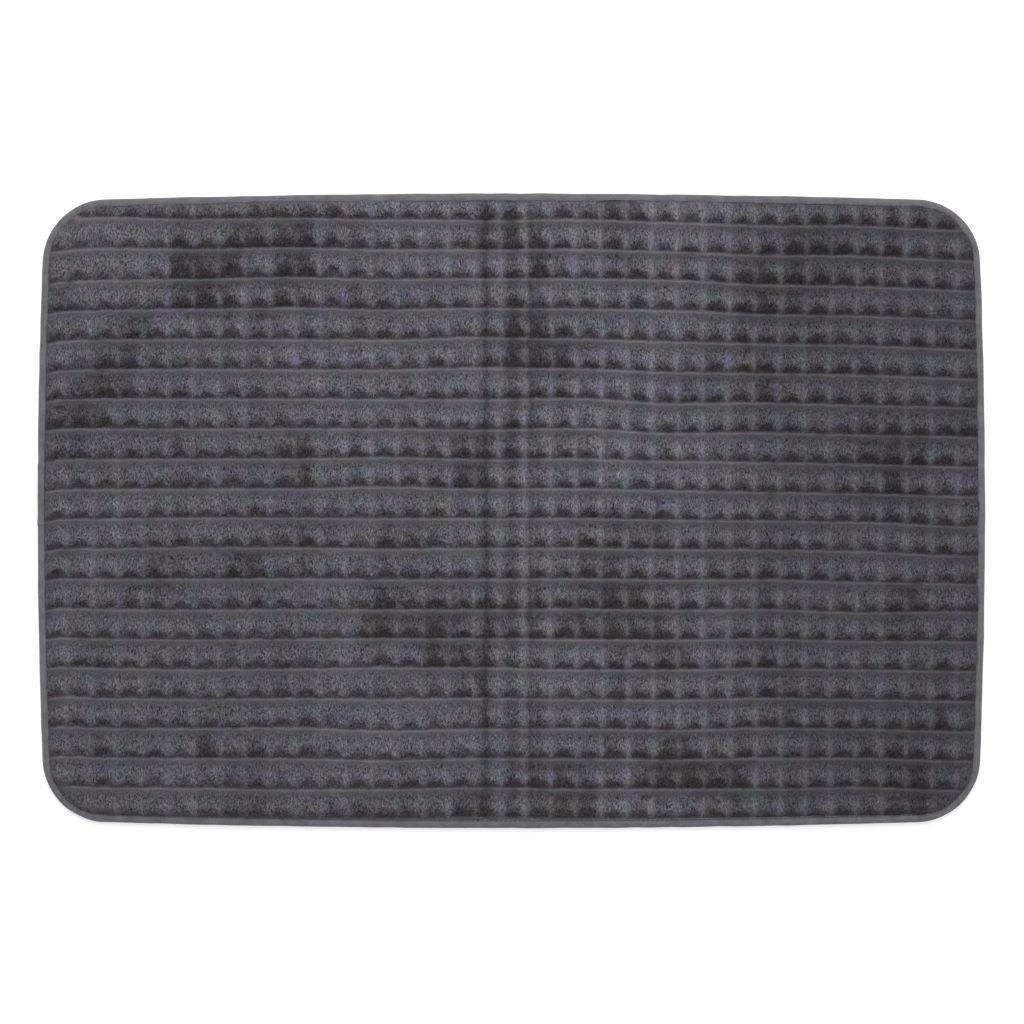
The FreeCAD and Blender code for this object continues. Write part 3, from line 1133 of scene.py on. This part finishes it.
def thinned_section(outer, thickness):
    """The section's inner side, one thickness away from its outer side."""
    step = np.gradient(outer, axis=0)
    normal = np.stack([-step[:, 1], step[:, 0]], axis=1)
    normal /= np.linalg.norm(normal, axis=1, keepdims=True)
    return outer - normal * thickness


def add_tape_map(piece, around):
    """A UV map for a strip: along it in metres, and round it from 0 to the number of ribs."""
    layer = piece.data.uv_layers.new(name="UVMap")
    index = np.empty(len(piece.data.loops), int)
    piece.data.loops.foreach_get("vertex_index", index)
    along = (index // around) * TAPE_STEP
    across = (index % around) / around * TAPE_RIBS
    layer.data.foreach_set("uv", np.stack([along, across], axis=1).astype(np.float32).ravel())


class BATHMAT_OT_seam(bpy.types.Operator):
    """Adds the lockstitches of the seam on both sides of the tape"""

    bl_idname = "bathmat.add_seam"
    bl_label = "Binding seam"

    def execute(self, context):
        outline_settings, _, binding, _ = settings_of(context)
        outline = Outline(outline_settings)
        thread = thread_material(binding)
        for name, node, side in (("seam_top", "needle_thread", 1),
                                 ("seam_under", "bobbin_thread", -1)):
            piece = stitches(name, outline, binding, side)
            finish_piece(piece, thread, "thread", node)
        return {"FINISHED"}


def one_stitch(span, thread, dip):
    """A stitch along X: a short bar of thread, thickest in its middle, that dips at both ends."""
    deselect()
    bpy.ops.mesh.primitive_cylinder_add(
        vertices=6, radius=thread / 2, depth=span, rotation=(0, math.pi / 2, 0))
    piece = bpy.context.active_object
    bpy.ops.object.transform_apply(location=False, rotation=True, scale=False)
    bpy.ops.object.mode_set(mode="EDIT")
    bpy.ops.mesh.select_mode(type="EDGE")
    bpy.ops.mesh.select_all(action="DESELECT")
    mesh = bmesh.from_edit_mesh(piece.data)
    for edge in mesh.edges:
        edge.select_set(abs(edge.verts[0].co.x - edge.verts[1].co.x) > span / 2)
    bmesh.update_edit_mesh(piece.data)
    bpy.ops.mesh.subdivide(number_cuts=3)
    bpy.ops.object.mode_set(mode="OBJECT")
    points = coordinates(piece.data)
    along = 2 * points[:, 0] / span
    turned = np.arctan2(points[:, 2], points[:, 1]) / (2 * np.pi)
    points[:, 1:] *= (1 - 0.55 * along ** 2)[:, None]
    points[:, 2] += dip * thread * (0.3 - 0.9 * along ** 2)
    faces = [list(face.vertices) for face in piece.data.polygons]
    bpy.data.objects.remove(piece)
    return points, faces, np.stack([0.05 + 0.05 * along, turned], axis=1)


def stitches(name, outline, binding, side):
    """One stitch, copied all along the seam on one side of the tape."""
    turn = outline.perimeter()
    count = round(turn / binding.stitch_pitch)
    pitch = turn / count
    bar, bar_faces, bar_map = one_stitch(pitch * 0.86, binding.thread, 1.0 if side > 0 else 0.5)
    if side < 0:
        bar[:, 1:] *= -1
    seat = TAPE_HIGH.z - LAP_ROOM if side > 0 else TAPE_LOW.z + LAP_ROOM
    middles = (np.arange(count) + 0.5) * pitch
    on_lap = (middles - lap_start(outline, binding)) % turn < binding.lap_length
    raised = np.where(on_lap, binding.thickness * (LAP_LIFT if side > 0 else 1.0), 0.0)
    stray = np.random.default_rng(SEED + 40).normal(0, 0.00005, count)
    foot, inward = outline.path((middles[:, None] + bar[:, 0]).ravel())
    inset = (binding.seam_inset + stray)[:, None] + bar[:, 1]
    level = (seat + side * (raised - 0.00008))[:, None] + bar[:, 2]
    points = np.column_stack([foot + inward * inset.reshape(-1, 1), level.ravel()])
    faces = [[corner + first for corner in face]
             for first in range(0, len(points), len(bar)) for face in bar_faces]
    mesh = bpy.data.meshes.new(name)
    mesh.from_pydata(points.tolist(), [], faces)
    index = np.empty(len(mesh.loops), int)
    mesh.loops.foreach_get("vertex_index", index)
    layer = mesh.uv_layers.new(name="UVMap")
    layer.data.foreach_set("uv", bar_map[index % len(bar)].astype(np.float32).ravel())
    piece = bpy.data.objects.new(name, mesh)
    bpy.context.collection.objects.link(piece)
    return piece


class BATHMAT_OT_stage(bpy.types.Operator):
    """Adds the floor, the soft lights and the camera above the mat"""

    bl_idname = "bathmat.add_stage"
    bl_label = "Floor, lights and camera"

    def execute(self, context):
        stage = context.scene.mat_stage
        deselect()
        bpy.ops.mesh.primitive_plane_add(size=FLOOR_SIZE, location=(0, 0, FLOOR_LEVEL))
        floor = context.active_object
        floor.name = "floor"
        floor.data.materials.append(floor_material(stage))
        add_area("key_light", (0.0, 1.25, 1.35), (0, 0, 0), 1.1, 26.0)
        add_area("top_light", (0.0, -0.1, 2.4), (0, 0, 0), 2.2, 24.0)
        world = bpy.data.worlds.new("soft_room")
        world.use_nodes = True
        world.node_tree.nodes["Background"].inputs["Color"].default_value = (1, 1, 1, 1)
        world.node_tree.nodes["Background"].inputs["Strength"].default_value = 0.55
        context.scene.world = world
        context.scene.view_settings.view_transform = "Standard"
        add_camera(context, stage)
        return {"FINISHED"}


def add_area(name, place, aim, size, power):
    """A square soft light that points at aim."""
    light = bpy.data.lights.new(name, "AREA")
    light.size, light.energy = size, power
    lamp = bpy.data.objects.new(name, light)
    lamp.location = place
    lamp.rotation_euler = (Vector(aim) - Vector(place)).to_track_quat("-Z", "Y").to_euler()
    bpy.context.collection.objects.link(lamp)


def add_camera(context, stage):
    """Straight above the mat, with +Y at the top of the picture."""
    data = bpy.data.cameras.new("view")
    data.lens = stage.lens
    camera = bpy.data.objects.new("view", data)
    away = stage.view_width * stage.lens / data.sensor_width
    widest = (TAPE_LOW.z + TAPE_HIGH.z) / 2
    camera.location = (VIEW_CENTRE[0], VIEW_CENTRE[1], widest + away)
    context.collection.objects.link(camera)
    context.scene.camera = camera


# ---------------------------------------------------------------- panel

class BATHMAT_PT_panel(bpy.types.Panel):
    """Lists the pieces of the mat and their sizes and colours"""

    bl_idname = "BATHMAT_PT_panel"
    bl_label = "Bath Mat"
    bl_space_type = "VIEW_3D"
    bl_region_type = "UI"
    bl_category = "Bath Mat"

    def draw(self, context):
        for operator in PIECES:
            self.layout.operator(operator.bl_idname)
        for group in settings_of(context):
            box = self.layout.box()
            for name in group.bl_rna.properties.keys():
                if name not in ("rna_type", "name"):
                    box.prop(group, name)


PIECES = (BATHMAT_OT_cover, BATHMAT_OT_foam, BATHMAT_OT_backing, BATHMAT_OT_binding,
          BATHMAT_OT_seam, BATHMAT_OT_stage)
GROUPS = (("mat_outline", OutlineSettings), ("mat_fleece", FleeceSettings),
          ("mat_binding", BindingSettings), ("mat_stage", StageSettings))


def register():
    for name, group in GROUPS:
        bpy.utils.register_class(group)
        setattr(bpy.types.Scene, name, bpy.props.PointerProperty(type=group))
    for item in PIECES + (BATHMAT_PT_panel,):
        bpy.utils.register_class(item)


def unregister():
    for item in (BATHMAT_PT_panel,) + PIECES[::-1]:
        bpy.utils.unregister_class(item)
    for name, group in GROUPS[::-1]:
        delattr(bpy.types.Scene, name)
        bpy.utils.unregister_class(group)


def main():
    register()
    bpy.ops.bathmat.add_cover()
    bpy.ops.bathmat.add_foam()
    bpy.ops.bathmat.add_backing()
    bpy.ops.bathmat.add_binding()
    bpy.ops.bathmat.add_seam()
    bpy.ops.bathmat.add_stage()


if __name__ == "__main__":
    main()
